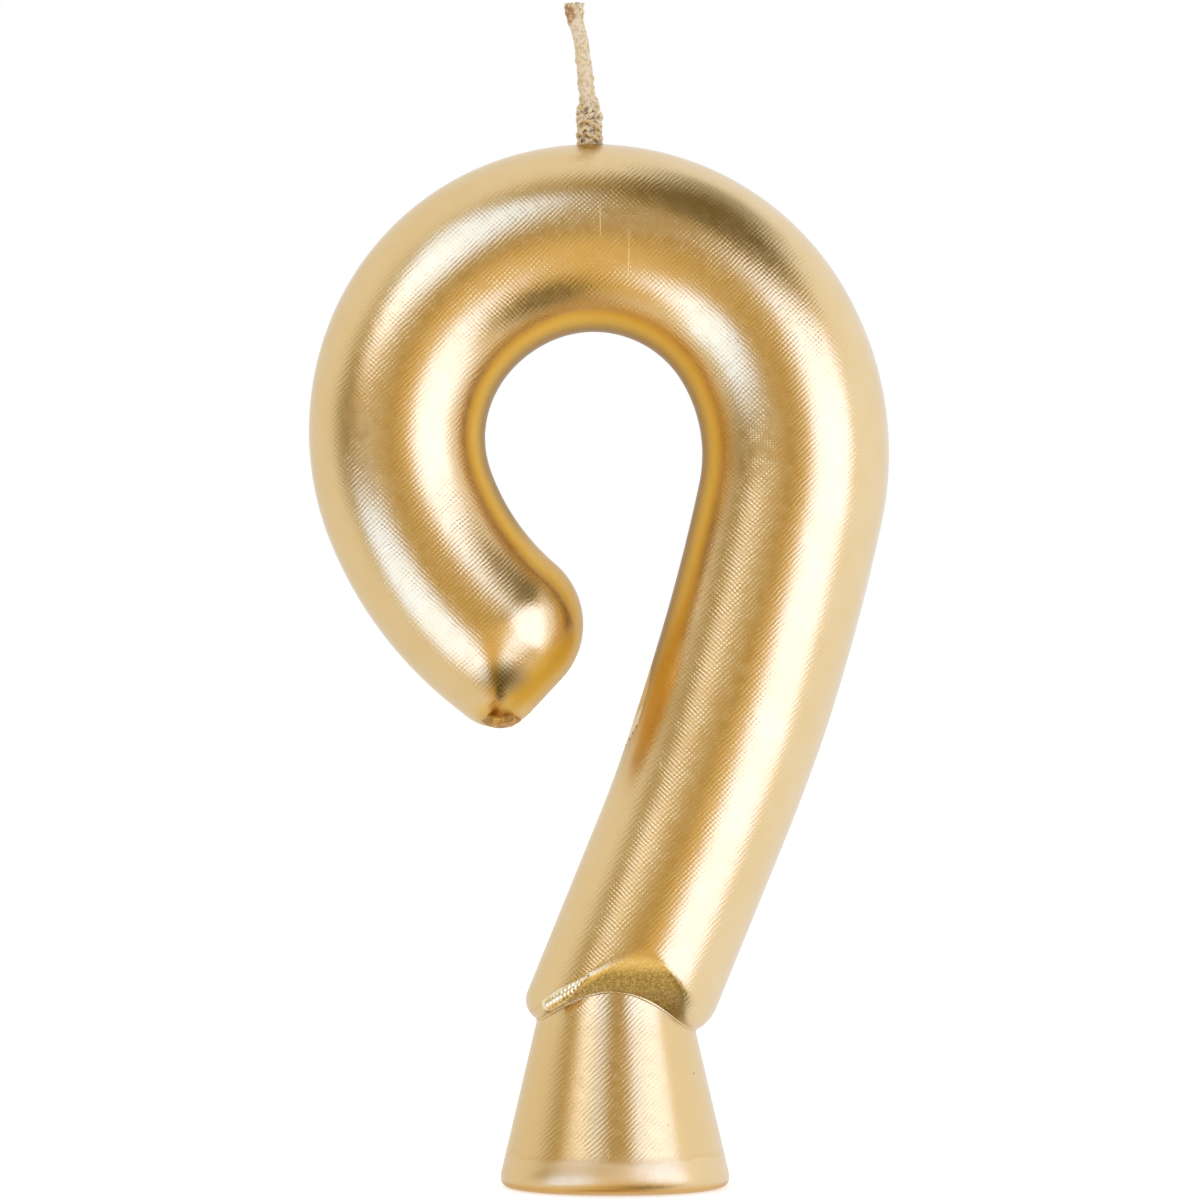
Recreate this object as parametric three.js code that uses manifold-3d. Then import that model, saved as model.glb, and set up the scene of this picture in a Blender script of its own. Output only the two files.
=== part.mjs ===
// A moulded number candle: a nine with an open loop, standing on a short flared foot.
// It is made of a wax casting, the thin gold lacquer coat on it, and the wick cast into it.
// Millimetres, +Z up and +Y to the back. The foot's underside lies on z = 0 with its axis on Z.

import * as THREE from 'three';
import { mergeGeometries, mergeVertices } from 'three/addons/utils/BufferGeometryUtils.js';
import Module from 'manifold-3d';

const wasm = await Module();
wasm.setup();

// The stroke's centreline, followed from above the foot up the limb, round the loop to the tail.
// A straight heel is followed by arcs that turn to the left, and each meets the next smoothly.
const strokeStartHeight = 13.0; // of the centreline's start above the underside
const strokeStartOffset = 0.35; // of that start from the foot's axis, along X
const strokeStartLean = 22.2; // degrees from upright, towards +X
const heelStraight = 12.3;
const limbArcRadius = 145;
const limbArcSweep = 10.1; // degrees
const shoulderArcRadius = 16.8;
const shoulderArcSweep = 42.5; // degrees
const loopArcRadius = 14.04;
const loopArcSweep = 170.5; // degrees
const tailArcRadius = 22.2;
const tailArcSweep = 30.5; // degrees
const tailStraight = 4.95; // from the last arc to the tail's end face

// Half the stroke's width, which is also half its depth, because the stroke is round
const heelHalfWidth = 6.48;
const limbHalfWidth = 6.66;
const crownHalfWidth = 6.7;
const sideHalfWidth = 6.26;
const tailHalfWidth = 6.24;

// Where along its own stretch of the stroke each of those widths is reached
const limbWidthPlace = 0.65;
const crownWidthPlace = 0.5;
const sideWidthPlace = 0.95;
const tailWidthPlace = 0.6;

// The two ends are cut across the stroke and rounded over to the stroke's own half width
const heelHeight = 11.25; // of the heel's edge above the underside, on the foot's axis
const heelTilt = -6; // degrees of that edge from level
const heelInnerCornerRadius = 1.6;
const heelOuterCornerRadius = 3.2;
const tailTilt = 47; // degrees of the tail's edge from level
const tailInnerCornerRadius = 5.7;
const tailOuterCornerRadius = 3.4;

// The foot is a flared cone that runs up into the heel
const footBaseRadius = 8.38; // of the flank where it would reach the underside
const footTaper = 13.2; // degrees of the flank from upright
const footEdgeRadius = 0.9; // of the rounding round the underside
const footRun = 14.5; // height of the cone, which ends inside the heel

// The coat is a thin skin over the wax, open over the underside and round the wick
const coatThickness = 0.2;
const coatClearance = 0.08; // between the coat and the wax
const underfaceClearance = 0.15; // between the bare wax underside and the coat's rim

// The wick stands out of the crown, thicker where its plait leaves the wax
const wickOffset = -0.29; // of its exit from the loop's centre, along X
const wickReach = 10.2; // above the crown
const wickDiameter = 1.25;
const wickCollarDiameter = 1.9;
const wickCollarHeight = 1.8; // above the crown
const wickCollarDepth = 1.4; // below the crown
const wickCollarTaper = 1.4; // over which the collar narrows to the stem
const wickClearance = 0.3; // between the wick and its channel
const wickEndHeight = 3; // of its lower end, closed in by the foot, above the underside

// Fineness of the faceted surfaces
const roundSteps = 6; // from the edge to the top of the stroke, on a quarter round
const stepAngle = 7; // degrees of a tight arc in one step
const limbStep = 3.6; // along the nearly straight limb
const footSides = 36;
const footEdgeSteps = 4;
const wickSides = 8;
const wickSteps = 56;
const heelRoom = 1.7; // half widths from the heel that its own rows take up
const tailRoom = 1.15; // half widths from the tail's end that its own rows take up
const settleRounds = 12; // of the search for a place at a given depth
const mergeDistance = 1e-4; // under which two vertices are one
const cutterRun = 1; // past a face, so that a cut opens it cleanly

const waxInset = coatThickness + coatClearance;
const rad = THREE.MathUtils.degToRad;
const smoothstep = THREE.MathUtils.smoothstep;
const lerp = THREE.MathUtils.lerp;
const tau = Math.PI * 2;

// A run of tangent arcs in the XZ plane, measured by the length along it.
// Before its start and past its end it goes on straight.
class Stroke {
  constructor(start, heading, stretches) {
    this.stretches = [];
    let point = start;
    let angle = heading;
    let from = 0;
    for (const { radius, length } of stretches) {
      const stretch = { point, angle, radius, from, length };
      this.stretches.push(stretch);
      ({ point, angle } = Stroke.along(stretch, length));
      from += length;
    }
    this.length = from;
  }

  static along({ point, angle, radius }, run) {
    const turn = radius === Infinity ? 0 : run / radius;
    const middle = angle + turn / 2;
    const chord = turn === 0 ? run : 2 * radius * Math.sin(turn / 2);
    const step = new THREE.Vector2(Math.cos(middle), Math.sin(middle)).multiplyScalar(chord);
    return { point: point.clone().add(step), angle: angle + turn };
  }

  at(distance) {
    let found = this.stretches[0];
    for (const stretch of this.stretches) {
      if (distance > stretch.from) found = stretch;
    }
    const { point, angle } = Stroke.along(found, distance - found.from);
    const left = new THREE.Vector2(-Math.sin(angle), Math.cos(angle));
    return { point, left, angle };
  }
}

const arc = (radius, sweep) => ({ radius, length: radius * rad(sweep) });
const line = (length) => ({ radius: Infinity, length });
const limb = arc(limbArcRadius, limbArcSweep);
const shoulder = arc(shoulderArcRadius, shoulderArcSweep);
const loop = arc(loopArcRadius, loopArcSweep);
const tail = arc(tailArcRadius, tailArcSweep);
const startHeading = Math.PI / 2 - rad(strokeStartLean);
const strokeStart = new THREE.Vector2(strokeStartOffset, strokeStartHeight);
const stroke = new Stroke(strokeStart, startHeading, [
  line(heelStraight), limb, shoulder, loop, tail, line(tailStraight),
]);
const limbEnd = heelStraight + limb.length;
const loopStart = limbEnd + shoulder.length;
const loopEntry = stroke.at(loopStart);
const loopCentre = loopEntry.point.clone().addScaledVector(loopEntry.left, loopArcRadius);

// Distances along the stroke with its half width there, and smooth changes between them
const widthStations = [
  [heelHalfWidth, heelHalfWidth],
  [limbEnd * limbWidthPlace, limbHalfWidth],
  [loopStart + loop.length * crownWidthPlace, crownHalfWidth],
  [loopStart + loop.length * sideWidthPlace, sideHalfWidth],
  [loopStart + loop.length + tail.length * tailWidthPlace, tailHalfWidth],
];

function halfWidthAt(distance) {
  let width = widthStations[0][1];
  for (let i = 1; i < widthStations.length; i += 1) {
    const [from, before] = widthStations[i - 1];
    const [to, after] = widthStations[i];
    if (distance > from) width = lerp(before, after, smoothstep(distance, from, to));
  }
  return width;
}

// An end of the stroke: its edge line, the way out across it, and its two corners.
// Corner 1 is on the left of the stroke's travel and corner -1 on the right.
const edgeNormal = (tilt) => new THREE.Vector2(Math.sin(rad(tilt)), -Math.cos(rad(tilt)));
const heel = {
  edge: new THREE.Vector2(0, heelHeight),
  out: edgeNormal(heelTilt),
  travel: -1,
  station: 0,
  halfWidth: heelHalfWidth,
  corners: { 1: heelInnerCornerRadius, [-1]: heelOuterCornerRadius },
};
const tip = {
  edge: stroke.at(stroke.length).point,
  out: edgeNormal(tailTilt),
  travel: 1,
  station: stroke.length,
  halfWidth: tailHalfWidth,
  corners: { 1: tailInnerCornerRadius, [-1]: tailOuterCornerRadius },
};

// The place at a given offset from the centreline and a given depth inside an end's edge line
function placeAtDepth(end, offsetAt, depth) {
  let distance = end.station;
  let place;
  for (let round = 0; round < settleRounds; round += 1) {
    const { point, left } = stroke.at(distance);
    place = point.clone().addScaledVector(left, offsetAt(distance));
    const found = end.edge.clone().sub(place).dot(end.out);
    distance += end.travel * (found - depth);
  }
  return { place, distance };
}

// How deep the round-over is at a level, and how high the surface stands there
const levelDepth = (level, halfWidth) => halfWidth * (1 - Math.cos((level / roundSteps) * Math.PI / 2));
const riseAt = (depth, halfWidth) => Math.sqrt(Math.max(0, depth * (2 * halfWidth - depth)));

// How many levels from the edge still turn the corner in an arc, the same for every inset
function roundLevelsOf(end, side) {
  const levels = [...Array(roundSteps).keys()];
  return levels.filter((n) => levelDepth(n, end.halfWidth) + waxInset < end.corners[side]).length;
}

// A point of the sheet near an end. Its row counts levels in from the end's edge, and its
// column levels in from the side's edge. Past the corner's radius the two sides meet in a ridge.
function placeInEnd(end, side, row, column, inset) {
  const halfWidth = end.halfWidth - inset;
  const radius = end.corners[side] - inset;
  const level = Math.min(row, column);
  const depth = levelDepth(level, halfWidth);
  const roundLevels = roundLevelsOf(end, side);
  const rise = riseAt(depth, halfWidth);
  const lowest = Math.max(row, column);
  if (lowest < roundLevels) {
    const { place: centre, distance } = placeAtDepth(end, () => side * (halfWidth - radius), radius + inset);
    const outward = stroke.at(distance).left.multiplyScalar(side);
    const fromSide = outward.angle();
    let turn = end.out.angle() - fromSide;
    if (turn > Math.PI) turn -= tau;
    if (turn < -Math.PI) turn += tau;
    const share = (roundLevels - lowest) / (roundLevels - level) / 2;
    const angle = fromSide + turn * (column <= row ? share : 1 - share);
    const reach = radius - depth;
    const place = new THREE.Vector2(Math.cos(angle), Math.sin(angle)).multiplyScalar(reach).add(centre);
    return { place, rise };
  }
  const sideDepth = levelDepth(column, halfWidth);
  const endDepth = levelDepth(row, halfWidth) + inset;
  const { place } = placeAtDepth(end, () => side * (halfWidth - sideDepth), endDepth);
  return { place, rise };
}

// The rows of the sheet between its two ends, closer together where the centreline turns tightly
function middleRows() {
  const rows = [];
  const from = heel.halfWidth * heelRoom;
  const to = stroke.length - tip.halfWidth * tailRoom;
  for (const stretch of stroke.stretches) {
    const tight = stretch.radius < limbArcRadius;
    const step = tight ? stretch.radius * rad(stepAngle) : limbStep;
    const steps = Math.max(1, Math.ceil(stretch.length / step));
    for (let i = 0; i < steps; i += 1) rows.push(stretch.from + (stretch.length * i) / steps);
  }
  return rows.filter((distance) => distance > from && distance < to);
}

// The numeral as a solid: a flat sheet of squares is laid along the stroke and raised in a
// quarter round from its edges, and its mirror image closes it at the back.
function numeralSolid(inset) {
  const rows = middleRows();
  const rowCount = rows.length + 2 * (roundSteps + 1);
  const columnCount = 2 * roundSteps;
  const sheet = new THREE.PlaneGeometry(1, 1, columnCount, rowCount - 1);
  sheet.deleteAttribute('normal');
  sheet.deleteAttribute('uv');
  const front = sheet.getAttribute('position');
  for (let row = 0; row < rowCount; row += 1) {
    for (let column = 0; column <= columnCount; column += 1) {
      const side = column <= roundSteps ? -1 : 1;
      const level = side === -1 ? column : columnCount - column;
      const fromEnd = rowCount - 1 - row;
      let spot;
      if (row <= roundSteps) {
        spot = placeInEnd(heel, side, row, level, inset);
      } else if (fromEnd <= roundSteps) {
        spot = placeInEnd(tip, side, fromEnd, level, inset);
      } else {
        const distance = rows[row - roundSteps - 1];
        const { point, left } = stroke.at(distance);
        const halfWidth = halfWidthAt(distance) - inset;
        const depth = levelDepth(level, halfWidth);
        const place = point.addScaledVector(left, side * (halfWidth - depth));
        spot = { place, rise: riseAt(depth, halfWidth) };
      }
      front.setXYZ(row * (columnCount + 1) + column, spot.place.x, -spot.rise, spot.place.y);
    }
  }
  const back = sheet.clone().scale(1, -1, 1);
  const turned = back.getIndex().array;
  for (let i = 0; i < turned.length; i += 3) {
    [turned[i], turned[i + 1]] = [turned[i + 1], turned[i]];
  }
  return solid(mergeGeometries([sheet, back]));
}

// A closed three.js geometry as a solid for cutting and joining, and a solid as a geometry
function solid(geometry) {
  const bare = geometry.clone();
  bare.deleteAttribute('normal');
  bare.deleteAttribute('uv');
  const merged = mergeVertices(bare, mergeDistance);
  const vertProperties = new Float32Array(merged.getAttribute('position').array);
  const corners = [];
  const index = merged.getIndex().array;
  for (let i = 0; i < index.length; i += 3) {
    const [a, b, c] = [index[i], index[i + 1], index[i + 2]];
    if (a !== b && b !== c && c !== a) corners.push(a, b, c);
  }
  const triVerts = new Uint32Array(corners);
  return new wasm.Manifold(new wasm.Mesh({ numProp: 3, vertProperties, triVerts }));
}

function geometryOf(body) {
  const mesh = body.getMesh();
  const geometry = new THREE.BufferGeometry();
  geometry.setAttribute('position', new THREE.BufferAttribute(mesh.vertProperties, 3));
  geometry.setIndex(new THREE.BufferAttribute(mesh.triVerts, 1));
  return geometry;
}

// A profile in (radius, height) turned round Z
function turnedSolid(profile, sides) {
  const points = profile.map(([radius, height]) => new THREE.Vector2(radius, height));
  return solid(new THREE.LatheGeometry(points, sides).rotateX(Math.PI / 2));
}

const flankLean = rad(footTaper);
const edgeCentreInset = footEdgeRadius * Math.tan((Math.PI / 2 + flankLean) / 2);
const underfaceRadius = footBaseRadius - edgeCentreInset;

// The foot: an underside, its rounded edge and the flank up into the heel
function footSolid(inset) {
  const edgeRadius = footEdgeRadius - inset;
  const profile = [[0, inset]];
  for (let i = 0; i <= footEdgeSteps; i += 1) {
    const angle = -Math.PI / 2 + ((Math.PI / 2 + flankLean) * i) / footEdgeSteps;
    const radius = underfaceRadius + edgeRadius * Math.cos(angle);
    profile.push([radius, footEdgeRadius + edgeRadius * Math.sin(angle)]);
  }
  const topRadius = footBaseRadius - inset / Math.cos(flankLean) - footRun * Math.tan(flankLean);
  profile.push([topRadius, footRun], [0, footRun]);
  return turnedSolid(profile, footSides);
}

const candleSolid = (inset) => numeralSolid(inset).add(footSolid(inset));

// A closed cylinder bent along a curve, with its radius given along the way
function bentCylinder(curve, radiusAt, sides, steps) {
  const cylinder = new THREE.CylinderGeometry(1, 1, 1, sides, steps);
  const position = cylinder.getAttribute('position');
  const frames = [];
  for (let i = 0; i <= steps; i += 1) {
    const point = curve.getPointAt(i / steps);
    const tangent = curve.getTangentAt(i / steps);
    const across = new THREE.Vector3(0, 1, 0).cross(tangent).normalize();
    frames.push({ point, across, radius: radiusAt(point) });
  }
  for (let i = 0; i < position.count; i += 1) {
    const { point, across, radius } = frames[Math.round((0.5 - position.getY(i)) * steps)];
    const spot = point.clone().addScaledVector(across, position.getX(i) * radius);
    spot.y += position.getZ(i) * radius;
    position.setXYZ(i, spot.x, spot.y, spot.z);
  }
  return solid(cylinder);
}

// The wick's route, from its tip through the crown, along the stroke and down the foot's axis
const crownHeight = loopCentre.y + loopArcRadius + crownHalfWidth;
const exitX = loopCentre.x + wickOffset;
const upright = (x, height) => new THREE.Vector3(x, 0, height);
const onStroke = (distance) => {
  const { point } = stroke.at(distance);
  return upright(point.x, point.y);
};
// Above the crown each point is an offset along X and a share of the reach, from the tip down
const overCrown = [[-1.12, 1], [-0.93, 0.88], [-0.4, 0.6], [-0.13, 0.37], [0.03, 0.17], [0, 0]];
const underCrown = { offset: 0.15, share: 0.5 }; // of the stroke's half width, below the crown
const loopPlaces = [0.32, 0.18, 0.04]; // shares of the loop's length
const bendPlace = 0.5; // share of the shoulder's length
const limbPlaces = [1, 0.8, 0.6, 0.4, 0.2, 0.03]; // shares of the limb's length
const footPlace = 0.6; // share of the height at which the stroke starts

function wickRoute(lowerEnd) {
  const above = overCrown.map(([x, share]) => upright(exitX + x, crownHeight + wickReach * share));
  const below = upright(exitX + underCrown.offset, crownHeight - crownHalfWidth * underCrown.share);
  const round = loopPlaces.map((share) => onStroke(loopStart + loop.length * share));
  const bend = onStroke(limbEnd + shoulder.length * bendPlace);
  const down = limbPlaces.map((share) => onStroke(limbEnd * share));
  const inFoot = upright(0, strokeStartHeight * footPlace);
  return new THREE.CatmullRomCurve3([
    ...above, below, ...round, bend, ...down, inFoot, upright(0, lowerEnd),
  ], false, 'centripetal');
}

function wickRadiusAt(point) {
  const over = point.z - crownHeight;
  const above = smoothstep(over, wickCollarHeight, wickCollarHeight + wickCollarTaper);
  const below = smoothstep(-over, wickCollarDepth, wickCollarDepth + wickCollarTaper);
  return lerp(wickCollarDiameter, wickDiameter, Math.max(above, below)) / 2;
}

// The wick, and the channel that it lies in, which ends blind in the foot
const wickBody = bentCylinder(wickRoute(wickEndHeight), wickRadiusAt, wickSides, wickSteps);
const channelRadiusAt = (point) => wickRadiusAt(point) + wickClearance;
const channelRoute = wickRoute(wickEndHeight - wickClearance);
const channel = bentCylinder(channelRoute, channelRadiusAt, wickSides, wickSteps);

// The wax casting, with its bare underside standing level with the coat's rim
const underfaceDepth = 2;
const waxUnderface = turnedSolid([
  [0, 0],
  [underfaceRadius - underfaceClearance, 0],
  [underfaceRadius - underfaceClearance, underfaceDepth],
  [0, underfaceDepth],
], footSides);
const waxBody = candleSolid(waxInset).add(waxUnderface).subtract(channel);

// The gold coat, a shell of one thickness with an opening at the underside and at the wick
const underfaceOpening = turnedSolid([
  [0, -cutterRun],
  [underfaceRadius, -cutterRun],
  [underfaceRadius, underfaceDepth],
  [0, underfaceDepth],
], footSides);
const goldCoat = candleSolid(0).subtract(candleSolid(coatThickness).add(underfaceOpening)).subtract(channel);

const finishes = {
  gold: new THREE.MeshStandardMaterial({ color: 0xd9b463, roughness: 0.32, metalness: 1 }),
  wax: new THREE.MeshStandardMaterial({ color: 0xf1e7cf, roughness: 0.55, metalness: 0 }),
  cotton: new THREE.MeshStandardMaterial({ color: 0xd9c59a, roughness: 0.8, metalness: 0.1 }),
};

const candle = new THREE.Group();
function addPiece(name, body, material) {
  const mesh = new THREE.Mesh(geometryOf(body), material);
  mesh.name = name;
  candle.add(mesh);
}
addPiece('wax_body', waxBody, finishes.wax);
addPiece('gold_coat', goldCoat, finishes.gold);
addPiece('wick', wickBody, finishes.cotton);

export default candle;
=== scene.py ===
# %% [markdown]
# # A gold number candle
# The real object is a wax numeral cast in a milled mould. It has a metallic lacquer coat and a
# plaited cotton wick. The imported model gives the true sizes, and this lesson dresses it: a smooth
# coat, the wax under it, the plait of the wick, and the marks that the mould's cutter left.

import math
from collections import namedtuple

import bmesh
import bpy
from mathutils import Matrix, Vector, kdtree, noise


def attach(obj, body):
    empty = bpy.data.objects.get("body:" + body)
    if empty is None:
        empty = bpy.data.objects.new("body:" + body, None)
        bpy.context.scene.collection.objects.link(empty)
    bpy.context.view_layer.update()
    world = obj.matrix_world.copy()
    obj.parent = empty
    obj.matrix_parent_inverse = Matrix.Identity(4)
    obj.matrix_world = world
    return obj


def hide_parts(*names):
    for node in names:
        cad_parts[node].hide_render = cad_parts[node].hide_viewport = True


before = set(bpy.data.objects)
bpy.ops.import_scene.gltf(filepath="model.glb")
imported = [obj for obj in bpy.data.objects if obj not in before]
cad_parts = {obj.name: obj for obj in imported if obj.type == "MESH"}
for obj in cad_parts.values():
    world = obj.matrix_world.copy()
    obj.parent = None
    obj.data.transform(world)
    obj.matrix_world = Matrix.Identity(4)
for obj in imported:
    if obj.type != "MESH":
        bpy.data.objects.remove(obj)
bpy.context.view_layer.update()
MM = 0.001
TOUCHING = 0.001 * MM
print("nodes:", sorted(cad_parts))

# %% [markdown]
# ## The stroke's line
# The numeral is one thick stroke that follows a line from the heel, up the limb, round the loop
# and down the tail. A free curve through points would wobble in the highlights, and gloss shows
# every wobble. So the line is a chain of a straight and of arcs that meet smoothly, as on the
# drawing of the mould, and each place on it is found by the length along it.

# %% Sizes of the stroke
START = Vector((0.35, 13.0)) * MM
START_LEAN = math.radians(22.2)
HEEL_STRAIGHT = 12.3 * MM
# Each arc is a radius and the angle that it sweeps.
LIMB = (145 * MM, math.radians(10.1))
SHOULDER = (16.8 * MM, math.radians(42.5))
LOOP = (14.04 * MM, math.radians(170.5))
TAIL = (22.2 * MM, math.radians(30.5))
TAIL_STRAIGHT = 4.95 * MM


class Stroke:
    """A run of tangent arcs in the XZ plane, measured by the length along it."""

    def __init__(self, start, heading, stretches):
        self.stretches = []
        point, angle, begins = start, heading, 0.0
        for radius, length in stretches:
            self.stretches.append((point, angle, radius, begins))
            point, angle = self.along(self.stretches[-1], length)
            begins += length
        self.length = begins

    @staticmethod
    def along(stretch, run):
        point, angle, radius, _ = stretch
        turn = 0.0 if radius is None else run / radius
        chord = run if turn == 0 else 2 * radius * math.sin(turn / 2)
        middle = angle + turn / 2
        return point + Vector((math.cos(middle), math.sin(middle))) * chord, angle + turn

    def at(self, distance):
        """The point and the unit vector to the left, at a distance along the line."""
        found = self.stretches[0]
        for stretch in self.stretches:
            if distance > stretch[3]:
                found = stretch
        point, angle = self.along(found, distance - found[3])
        return point, Vector((-math.sin(angle), math.cos(angle)))


def arc_run(radius, sweep):
    return radius, radius * sweep


stroke = Stroke(START, math.pi / 2 - START_LEAN, [
    (None, HEEL_STRAIGHT), arc_run(*LIMB), arc_run(*SHOULDER), arc_run(*LOOP), arc_run(*TAIL),
    (None, TAIL_STRAIGHT),
])
limb_end = HEEL_STRAIGHT + LIMB[0] * LIMB[1]
loop_start = limb_end + SHOULDER[0] * SHOULDER[1]
loop_run = LOOP[0] * LOOP[1]
tail_run = TAIL[0] * TAIL[1]
entry, entry_left = stroke.at(loop_start)
loop_centre = entry + entry_left * LOOP[0]
print(f"stroke {stroke.length / MM:.1f} mm, loop centre {loop_centre / MM}")

# %% [markdown]
# ## A round stroke with mitred ends
# Across the stroke the surface is a half circle. At the two ends it is rounded over in the same
# way, so the end and the sides meet in soft ridges, like the mitres of a frame. A tube along a
# curve would close with a dome and lose those ridges. Instead a flat grid is laid along the
# stroke, each vertex is moved to its place and raised, and the grid is mirrored for the back.

# %% Widths and ends
# Half of the stroke's width, at lengths along it.
HALF_WIDTHS = [
    (12.0 * MM, 6.48 * MM),
    (limb_end * 0.65, 6.66 * MM),
    (loop_start + loop_run * 0.5, 6.7 * MM),
    (loop_start + loop_run * 0.95, 6.26 * MM),
    (loop_start + loop_run + tail_run * 0.6, 6.24 * MM),
]


def smooth_share(value, low, high):
    share = min(1.0, max(0.0, (value - low) / (high - low)))
    return share * share * (3 - 2 * share)


def half_width_at(distance):
    width = HALF_WIDTHS[0][1]
    for (low, before), (high, after) in zip(HALF_WIDTHS, HALF_WIDTHS[1:]):
        if distance > low:
            width = before + (after - before) * smooth_share(distance, low, high)
    return width


def edge_normal(tilt):
    return Vector((math.sin(math.radians(tilt)), -math.cos(math.radians(tilt))))


# Corner radii and hollows are given for the left side of the line, 1, and for the right, -1.
HEEL = {
    "edge": Vector((0, 11.25)) * MM,
    "out": edge_normal(-6),
    "travel": -1,
    "station": 0.0,
    "half_width": HALF_WIDTHS[0][1],
    "corners": {1: 1.6 * MM, -1: 3.2 * MM},
    "hollow": {1: 0.35 * MM, -1: 0.95 * MM},
}
TIP = {
    "edge": stroke.at(stroke.length)[0],
    "out": edge_normal(47),
    "travel": 1,
    "station": stroke.length,
    "half_width": HALF_WIDTHS[-1][1],
    "corners": {1: 5.7 * MM, -1: 3.4 * MM},
    "hollow": {1: 0.0, -1: 0.0},
}
SETTLE_ROUNDS = 14


def place_at_depth(end, offset, depth):
    """Where a line at an offset from the stroke's centre is a given depth inside an end."""
    distance = end["station"]
    for _ in range(SETTLE_ROUNDS):
        point, left = stroke.at(distance)
        place = point + left * offset
        distance += end["travel"] * ((end["edge"] - place).dot(end["out"]) - depth)
    return place, distance


print("the tip's edge passes", TIP["edge"] / MM, "and faces", TIP["out"])


# %% The sheet's vertices
def level_depth(level, steps, half_width):
    return half_width * (1 - math.cos(level / steps * math.pi / 2))


def rise_at(depth, half_width):
    return math.sqrt(max(0.0, depth * (2 * half_width - depth)))


def set_back(end, level, steps, across):
    """How far an end's face lies back from a plain quarter round, at a level and a place across."""
    share = (across + 1) / 2
    hollow = end["hollow"][-1] * (1 - share) + end["hollow"][1] * share
    return hollow * math.sin(math.pi * (1 - math.cos(level / steps * math.pi / 2)))


def place_in_end(end, side, row, column, steps, inset):
    """A vertex near an end: rows count in from the end's edge and columns from the side's."""
    half_width = end["half_width"] - inset
    radius = end["corners"][side] - inset
    level, lowest = min(row, column), max(row, column)
    depth = level_depth(level, steps, half_width)
    rise = rise_at(depth, half_width)
    round_levels = sum(
        level_depth(n, steps, end["half_width"]) < end["corners"][side] - inset
        for n in range(steps)
    )
    if lowest >= round_levels:
        offset = side * (half_width - level_depth(column, steps, half_width))
        back = set_back(end, row, steps, offset / half_width)
        row_depth = level_depth(row, steps, half_width) + back
        place, _ = place_at_depth(end, offset, row_depth + inset)
        return place, rise
    back = set_back(end, level, steps, side * (1 - radius / half_width))
    centre, distance = place_at_depth(end, side * (half_width - radius), radius + back + inset)
    outward = stroke.at(distance)[1] * side
    from_side = math.atan2(outward.y, outward.x)
    turn = math.atan2(end["out"].y, end["out"].x) - from_side
    turn = (turn + math.pi) % (2 * math.pi) - math.pi
    share = (round_levels - lowest) / (round_levels - level) / 2
    angle = from_side + turn * (share if column <= row else 1 - share)
    reach = radius - depth
    return centre + Vector((math.cos(angle), math.sin(angle))) * reach, rise


def place_in_run(side, level, share, steps, inset):
    """A vertex between the two end zones, at a share of the way from one to the other."""
    ends = []
    for end in (HEEL, TIP):
        half_width = end["half_width"] - inset
        offset = side * (half_width - level_depth(level, steps, half_width))
        ends.append(place_at_depth(end, offset, half_width + inset)[1])
    distance = ends[0] + (ends[1] - ends[0]) * share
    half_width = half_width_at(distance) - inset
    depth = level_depth(level, steps, half_width)
    point, left = stroke.at(distance)
    return point + left * side * (half_width - depth), rise_at(depth, half_width)


def stroke_mesh(steps, run_steps, inset):
    """The closed stroke as a bmesh, with steps from its edge to its top."""
    columns, rows = 2 * steps, 2 * steps + run_steps
    bm = bmesh.new()
    bmesh.ops.create_grid(bm, x_segments=columns, y_segments=rows, size=0.5)
    for vert in bm.verts:
        column = round((vert.co.x + 0.5) * columns)
        row = round((vert.co.y + 0.5) * rows)
        side = -1 if column <= steps else 1
        level = column if side < 0 else columns - column
        if row <= steps:
            place, rise = place_in_end(HEEL, side, row, level, steps, inset)
        elif rows - row <= steps:
            place, rise = place_in_end(TIP, side, rows - row, level, steps, inset)
        else:
            share = (row - steps) / run_steps
            place, rise = place_in_run(side, level, share, steps, inset)
        vert.co = (place.x, -rise, place.y)
    everything = bm.verts[:] + bm.edges[:] + bm.faces[:]
    bmesh.ops.mirror(bm, geom=everything, axis="Y", merge_dist=TOUCHING)
    bmesh.ops.remove_doubles(bm, verts=bm.verts[:], dist=TOUCHING)
    bmesh.ops.recalc_face_normals(bm, faces=bm.faces[:])
    return bm


# %% [markdown]
# ## The foot
# The foot is a flared cone whose lower rim is rounded, more at the front and the back than at the
# sides. It could be a plain cone with a bevel, but a bevel keeps one radius all round. So a
# profile with a quarter round is spun about the foot's axis, and the round is then drawn wider
# at the front and the back.

# %% Sizes of the foot
FOOT_BASE_RADIUS = 8.38 * MM
FOOT_TAPER = math.radians(13.2)
FOOT_RUN = 14.5 * MM
RIM_RADIUS_SIDE = 0.9 * MM
RIM_RADIUS_FRONT = 2.1 * MM
RIM_SQUEEZE = 0.088
RIM_SWING = math.pi / 2 + FOOT_TAPER
FULL_TURN = 2 * math.pi


def flank_point(height, inset):
    """Radius and height of a point on the flank."""
    return FOOT_BASE_RADIUS - inset / math.cos(FOOT_TAPER) - height * math.tan(FOOT_TAPER), height


def rim_centre(radius):
    return FOOT_BASE_RADIUS - radius * math.tan(RIM_SWING / 2)


def rim_top(radius):
    return radius * (1 + math.sin(FOOT_TAPER))


def rim_point(share, radius, inset):
    """Radius and height of a point on the rim's round, at a share of the way up it."""
    angle = -math.pi / 2 + RIM_SWING * share
    reach = radius - inset
    squeeze = RIM_SQUEEZE * radius * math.sin(math.pi * share) ** 2
    outward = rim_centre(radius) + reach * math.cos(angle) + squeeze
    return outward, radius + reach * math.sin(angle) - squeeze


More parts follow.
